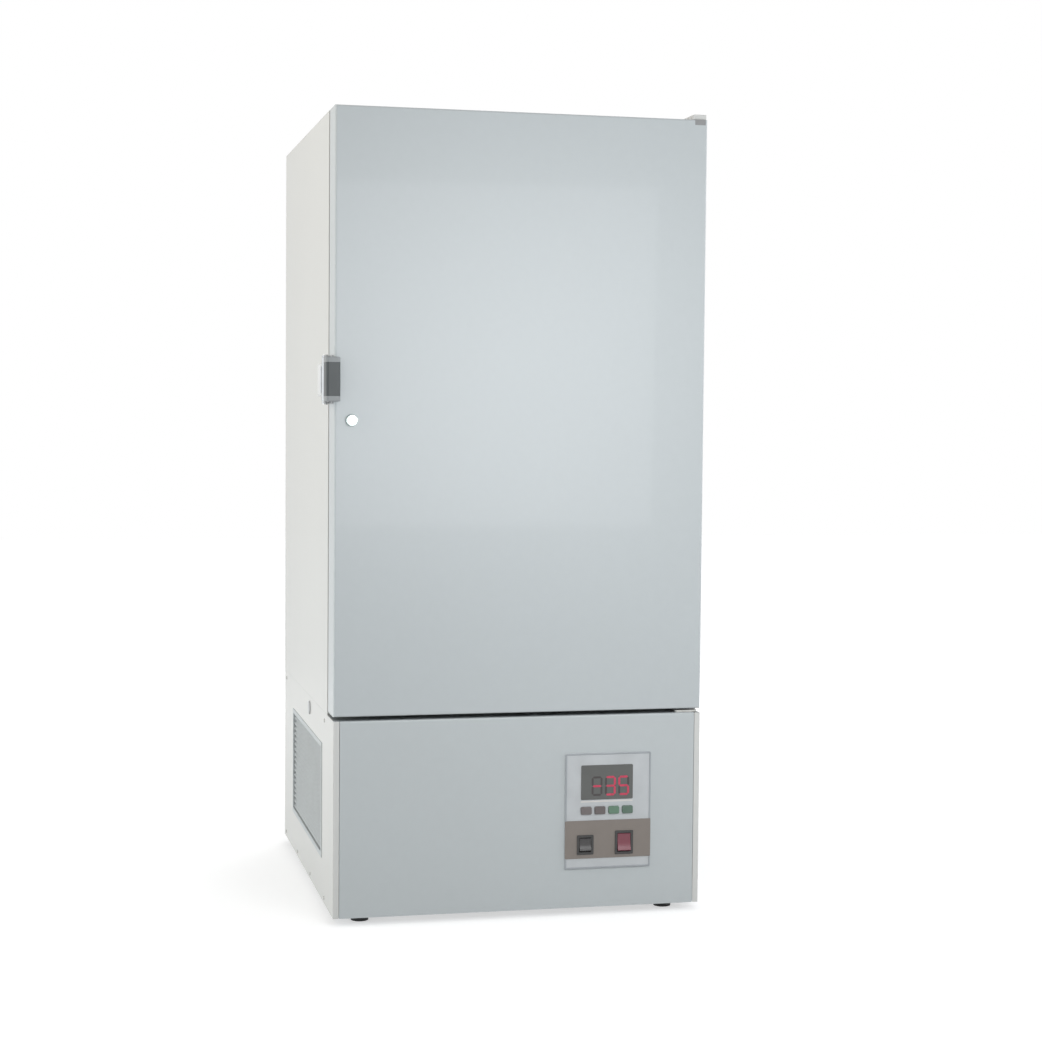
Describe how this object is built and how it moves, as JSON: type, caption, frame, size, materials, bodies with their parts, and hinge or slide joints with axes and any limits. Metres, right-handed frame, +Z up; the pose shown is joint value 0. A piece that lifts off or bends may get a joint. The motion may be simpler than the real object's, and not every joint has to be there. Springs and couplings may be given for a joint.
{
  "type": "quick freezer",
  "caption": "Upright quick freezer: insulated steel cabinet with a full-height hinged door, edge handle, key lock, louvred machine base and a front control panel.",
  "frame": {"origin": "middle of the freezer's own box, handle and hinge cover included, on the floor", "axes": "+Z up, the door's front faces -Y, the hinges are on the +X side"},
  "size_m": [0.9144, 1.034, 1.912],
  "materials": {
    "cabinet_paint": "satin",
    "door_paint": "satin",
    "liner_steel": "satin",
    "galvanised_sheet": "satin",
    "shelf_aluminium": "satin",
    "copper": "satin",
    "foam": "matte",
    "white_plastic": "satin",
    "vent_plastic": "satin",
    "strike_plastic": "gloss",
    "control_plastic": "satin",
    "strip_plastic": "satin",
    "display_plastic": "gloss",
    "black_plastic": "satin",
    "red_plastic": "gloss",
    "key_dark": "satin",
    "key_green": "satin",
    "key_grey_green": "satin",
    "grip_plastic": "satin",
    "cast_zinc": "satin",
    "lock_chrome": "polished",
    "zinc_plated_steel": "satin",
    "black_rubber": "matte",
    "gasket_rubber": "matte",
    "machine_black": "satin",
    "box_plastic": "matte"
  },
  "bodies": {
    "cabinet": {"base_pan": "galvanised_sheet", "levelling_feet": "black_rubber", "machine_deck": "galvanised_sheet", "lower_side_panel_left": "cabinet_paint", "lower_side_panel_right": "cabinet_paint", "vent_grilles": "vent_plastic", "lower_front_panel": "door_paint", "rear_cover": "cabinet_paint", "cable_plug": "box_plastic", "cord_gland": "black_plastic", "upper_side_panels": "cabinet_paint", "top_panel": "cabinet_paint", "rear_panel": "cabinet_paint", "face_frame": "cabinet_paint", "breaker_frame": "white_plastic", "insulation_foam": "foam", "inner_liner": "liner_steel", "shelf_rails": "liner_steel", "shelf_coils": "copper", "shelf_headers": "copper", "temperature_probe": "zinc_plated_steel", "hinge_plates": "zinc_plated_steel", "hinge_pins": "zinc_plated_steel", "hinge_cover": "cabinet_paint", "handle_strike": "strike_plastic", "lock_striker": "zinc_plated_steel", "compressor": "machine_black", "compressor_mounts": "black_rubber", "condenser": "shelf_aluminium", "fan_shroud": "galvanised_sheet", "fan_motor": "machine_black", "filter_drier": "copper", "refrigerant_pipes": "copper", "electrical_box": "box_plastic", "control_box": "black_plastic", "control_plate": "control_plastic", "display_lens": "display_plastic", "switch_strip": "strip_plastic", "rocker_frames": "black_plastic", "evaporator_shelf_1": "shelf_aluminium", "evaporator_shelf_2": "shelf_aluminium", "evaporator_shelf_3": "shelf_aluminium"},
    "door": {"door_skin": "door_paint", "door_foam": "foam", "door_inner_liner": "white_plastic", "door_gasket": "gasket_rubber", "hinge_bushes": "black_plastic", "handle_bracket": "cast_zinc", "handle_pin": "zinc_plated_steel", "lock_barrel": "lock_chrome"},
    "lever": {"handle_lever": "cast_zinc", "handle_grip": "grip_plastic"},
    "lock": {"lock_core": "lock_chrome"},
    "power_rocker": {"power_rocker": "red_plastic"},
    "alarm_rocker": {"alarm_rocker": "black_plastic"},
    "fan": {"fan_blades": "black_plastic"},
    "key_1": {"key_1": "key_dark"},
    "key_2": {"key_2": "key_dark"},
    "key_3": {"key_3": "key_green"},
    "key_4": {"key_4": "key_grey_green"}
  },
  "joints": [
    {"name": "door_hinge", "type": "hinge", "parent": "cabinet", "child": "door", "pos_m": [0.43875, -0.463, 1.2], "axis": [0, 0, 1], "range_deg": [0, 115]},
    {"name": "handle_pivot", "type": "hinge", "parent": "door", "child": "lever", "pos_m": [-0.44575, -0.417, 1.273], "axis": [0, 0, -1], "range_deg": [0, 30], "stiffness_Nm_per_rad": 0.5},
    {"name": "lock_turn", "type": "hinge", "parent": "door", "child": "lock", "pos_m": [-0.39425, -0.493, 1.179], "axis": [0, -1, 0], "range_deg": [0, 90]},
    {"name": "power_switch", "type": "hinge", "parent": "cabinet", "child": "power_rocker", "pos_m": [0.26675, -0.493, 0.173], "axis": [1, 0, 0], "range_deg": [0, 18]},
    {"name": "alarm_switch", "type": "hinge", "parent": "cabinet", "child": "alarm_rocker", "pos_m": [0.17075, -0.493, 0.17], "axis": [1, 0, 0], "range_deg": [0, 18]},
    {"name": "fan_spin", "type": "hinge", "parent": "cabinet", "child": "fan", "pos_m": [-0.31625, 0.007, 0.215], "axis": [1, 0, 0], "continuous": true},
    {"name": "key_1_press", "type": "slide", "parent": "cabinet", "child": "key_1", "axis": [0, 1, 0], "range_m": [0, 0.002], "stiffness_N_per_m": 800},
    {"name": "key_2_press", "type": "slide", "parent": "cabinet", "child": "key_2", "axis": [0, 1, 0], "range_m": [0, 0.002], "stiffness_N_per_m": 800},
    {"name": "key_3_press", "type": "slide", "parent": "cabinet", "child": "key_3", "axis": [0, 1, 0], "range_m": [0, 0.002], "stiffness_N_per_m": 800},
    {"name": "key_4_press", "type": "slide", "parent": "cabinet", "child": "key_4", "axis": [0, 1, 0], "range_m": [0, 0.002], "stiffness_N_per_m": 800}
  ]
}
